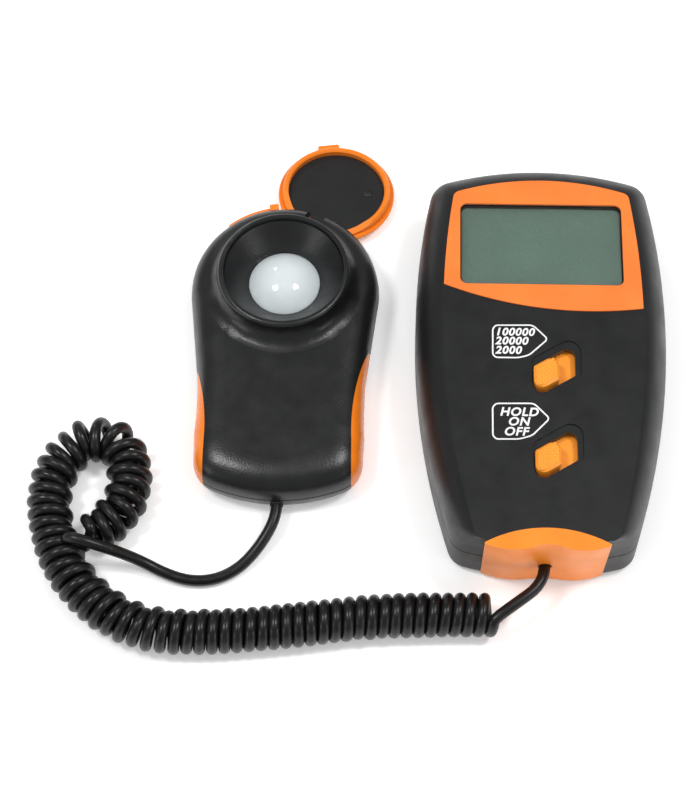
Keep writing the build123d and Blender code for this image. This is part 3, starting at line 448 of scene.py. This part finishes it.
def paint_nodes():
    """Give every carried-over CAD node its material."""
    case = moulded("case_black", BLACK, 0.42, 0.42, 0.024, Specular_IOR_Level=0.38)
    probe = moulded("probe_black", BLACK, 0.34, 0.5, 0.04)
    smooth_black = moulded("black_plastic", (0.012, 0.012, 0.013), 0.34, 0.5, 0.008)
    dish = moulded("dish_black", (0.0050, 0.0053, 0.0057), 0.36, 0.45, 0.075,
                   Specular_IOR_Level=0.6)
    liner = moulded("liner_black", (0.0060, 0.0066, 0.0070), 0.5, 0.5, 0.02)
    panel = moulded("orange_panel", ORANGE_PANEL, 0.42, 0.5, 0.004)
    guard = moulded("orange_guard", (0.90, 0.245, 0.022), 0.36, 0.6, 0.005,
                    Specular_IOR_Level=0.3)
    orange = moulded("orange_plastic", ORANGE_PLASTIC, 0.30, 0.6, 0.004)
    knob = moulded("orange_knob", (0.93, 0.31, 0.026), 0.34, 0.5, 0.005)
    rubber = moulded("rubber", (0.012, 0.012, 0.012), 0.62, 0.4, 0.02)
    steel = metal("plated_steel", (0.55, 0.55, 0.57), 0.3)
    finishes = {
        case: "meter_front_shell meter_rear_shell battery_door",
        probe: "probe_top_shell probe_bottom_shell",
        panel: "display_bezel",
        guard: "cable_guard",
        orange: "left_grip right_grip cap_shell hinge_bracket_left hinge_bracket_right",
        knob: "range_switch_knob power_switch_knob",
        window_glass(): "display_window",
        liquid_crystal(): "display_glass",
        smooth_black: "display_frame range_switch_actuator power_switch_actuator converter_chip"
                      " amplifier_chip photodiode",
        dish: "dish_cone",
        liner: "cap_liner",
        rubber: "contact_strip_upper contact_strip_lower meter_strain_relief probe_strain_relief",
        circuit_board(): "main_board sensor_board",
        steel: "board_screws case_screws sensor_screws probe_screws hinge_pin range_switch_body"
               " power_switch_body",
        moulded("trimmer_blue", (0.04, 0.13, 0.45), 0.3, 0.5, 0.004): "trimmers",
        moulded("capacitor_tan", (0.35, 0.2, 0.07), 0.35, 0.5, 0.004): "capacitors",
        moulded("battery_jacket", (0.08, 0.09, 0.11), 0.32, 0.6, 0.004): "battery",
        moulded("snap_black", (0.02, 0.02, 0.02), 0.5, 0.5, 0.01): "battery_snap",
        moulded("wire_red", (0.45, 0.02, 0.02), 0.4, 0.5, 0.004): "battery_wires",
        moulded("filter_green", (0.08, 0.22, 0.12), 0.1, 4.0, 0.002): "colour_filter",
        foam(): "battery_foam",
        milky_dome(): "diffuser_dome",
    }
    for material, names in finishes.items():
        for name in names.split():
            paint(nodes[name], material)


# ---------------------------------------------------------------- printing on the face plate

FACE_Z = 28.0            # height of the face plate
INK_Z = FACE_Z + 0.02
INK_T = 0.05
LINE_W = 0.42
TAG_CORNER_R = 1.1
CORNER_STEPS = 5
LETTER_WEIGHT = 0.1      # how far the ink stands outside the plain letters
LETTER_SPACING = 1.1
LETTER_SLANT = 0.22
RANGE_TAG = [(-14.0, 4.0), (-13.25, 5.2), (-3.0, 5.4), (1.05, 1.1), (-4.15, -4.0), (-7.1, -4.85),
             (-13.3, -4.85), (-14.05, -3.9)]
POWER_TAG = [(-14.2, -20.1), (-13.2, -19.0), (-3.1, -18.8), (1.1, -23.3), (-3.7, -28.5), (-7.2, -29.6),
             (-13.3, -29.7), (-14.2, -28.7)]
TAGS = {
    "range": (RANGE_TAG, 3.3, [("100000", -13.4, 2.1), ("20000", -13.4, -0.7), ("2000", -13.4, -3.6)]),
    "power": (POWER_TAG, 3.5, [("HOLD", -12.3, -22.6), ("ON", -10.2, -25.5), ("OFF", -11.3, -28.5)]),
}


def rounded(corners, radius):
    """Closed outline with its corners rounded, as plane points."""
    outline = []
    count = len(corners)
    for i in range(count):
        here = Vector(corners[i])
        before, after = Vector(corners[i - 1]), Vector(corners[(i + 1) % count])
        reach = min(radius, (before - here).length * 0.45, (after - here).length * 0.45)
        start = here + (before - here).normalized() * reach
        stop = here + (after - here).normalized() * reach
        for k in range(CORNER_STEPS + 1):
            t = k / CORNER_STEPS
            outline.append(start * (1 - t) ** 2 + here * 2 * t * (1 - t) + stop * t * t)
    return outline


def ring_strip(name, outline, width, z_low, z_high):
    """Flat raised strip along a closed outline."""
    count = len(outline)
    verts, faces = [], []
    for i, place in enumerate(outline):
        ahead = (outline[(i + 1) % count] - outline[i - 1]).normalized()
        across = Vector((-ahead.y, ahead.x)) * width / 2
        for edge, z in ((place + across, z_low), (place + across, z_high),
                        (place - across, z_high), (place - across, z_low)):
            verts.append(mm(edge.x, edge.y, z))
    for i in range(count):
        j = (i + 1) % count
        for k in range(4):
            a, b = 4 * i + k, 4 * i + (k + 1) % 4
            faces.append((a, b, 4 * j + (k + 1) % 4, 4 * j + k))
    return mesh_object(name, verts, faces)


def printed_text(name, words, x, y, size):
    """Raised ink lettering as a mesh, bold and slanted."""
    data = bpy.data.curves.new(name, "FONT")
    data.body = words
    data.size = size * MM
    data.shear = LETTER_SLANT
    data.offset = LETTER_WEIGHT * MM
    data.space_character = LETTER_SPACING
    data.extrude = INK_T / 2 * MM
    data.resolution_u = 4
    text = bpy.data.objects.new(name, data)
    scene.collection.objects.link(text)
    bpy.context.view_layer.update()
    depsgraph = bpy.context.evaluated_depsgraph_get()
    mesh = bpy.data.meshes.new_from_object(text.evaluated_get(depsgraph))
    bpy.data.objects.remove(text)
    mesh.transform(Matrix.Translation(mm(x, y, INK_Z + INK_T / 2)))
    thing = bpy.data.objects.new(name, mesh)
    scene.collection.objects.link(thing)
    return thing


def add_printing():
    """The outlined tags beside the two switches, with their numbers and words."""
    ink = moulded("white_ink", (0.80, 0.80, 0.80), 0.45, 0.4, 0.003)
    for tag, (corners, size, rows) in TAGS.items():
        outline = rounded(corners, TAG_CORNER_R)
        pieces = [ring_strip(f"{tag}_tag_line", outline, LINE_W, INK_Z, INK_Z + INK_T)]
        for words, x, y in rows:
            pieces.append(printed_text(f"{tag}_label_{words.lower()}", words, x, y, size))
        for piece in pieces:
            paint(piece, ink)
            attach(piece, "root")


# ---------------------------------------------------------------- stage and light

FLOOR_HALF = 3.0         # metres, as is the drop
FLOOR_DROP = 0.0002      # the floor lies just under the object
FLOOR_GLOW = 0.22        # keeps the floor near white under soft light
WORLD_LIGHT = 0.30
LIGHTS = [               # name, direction, distance and diameter in metres, watts
    ("key_left", (-0.416, -0.036, 0.907), 1.0, 0.22, 3.6),
    ("key_right", (0.44, 0.027, 0.897), 1.0, 0.22, 3.6),
    ("back_left", (-0.351, 0.758, 0.549), 1.1, 0.14, 0.7),
    ("front_left", (-0.81, -0.50, 0.30), 1.0, 0.3, 0.9),
    ("front_right", (0.81, -0.50, 0.30), 1.0, 0.3, 0.9),
]
OVERHEAD = ("overhead", (0.0, -0.25, 1.0), 1.3, 1.9, 7.4)


def add_stage():
    """A plain pale floor, a white surround and soft studio lights."""
    corners = [(-1, -1), (1, -1), (1, 1), (-1, 1)]
    places = [(x * FLOOR_HALF, y * FLOOR_HALF, 0) for x, y in corners]
    floor = mesh_object("floor", places, [(0, 1, 2, 3)])
    recipe = Recipe("floor", (0.92, 0.92, 0.92), 0.9, Specular_IOR_Level=0.1,
                    Emission_Strength=FLOOR_GLOW)
    recipe.set("Emission Color", (1, 1, 1, 1))
    paint(floor, recipe.material)
    floor.location.z = -FLOOR_DROP
    world = bpy.data.worlds.new("world")
    scene.world = world
    world.use_nodes = True
    background = world.node_tree.nodes["Background"]
    background.inputs["Color"].default_value = (1, 1, 1, 1)
    background.inputs["Strength"].default_value = WORLD_LIGHT
    for light in LIGHTS:
        add_light(*light)
    add_light(*OVERHEAD).visible_glossy = False
    scene.view_settings.view_transform = "Standard"


def add_light(name, direction, distance, size, power):
    """Round area light seen from the object in this direction, aimed at it."""
    data = bpy.data.lights.new(name, "AREA")
    data.shape = "DISK"
    data.size = size
    data.energy = power
    light = bpy.data.objects.new(name, data)
    scene.collection.objects.link(light)
    away = Vector(direction).normalized()
    light.location = CAMERA_TARGET + away * distance
    light.rotation_mode = "QUATERNION"
    light.rotation_quaternion = away.to_track_quat("Z", "Y")
    return light


add_camera()
jacket = cord_jacket()
add_cords(jacket)
paint_nodes()
add_printing()
add_stage()
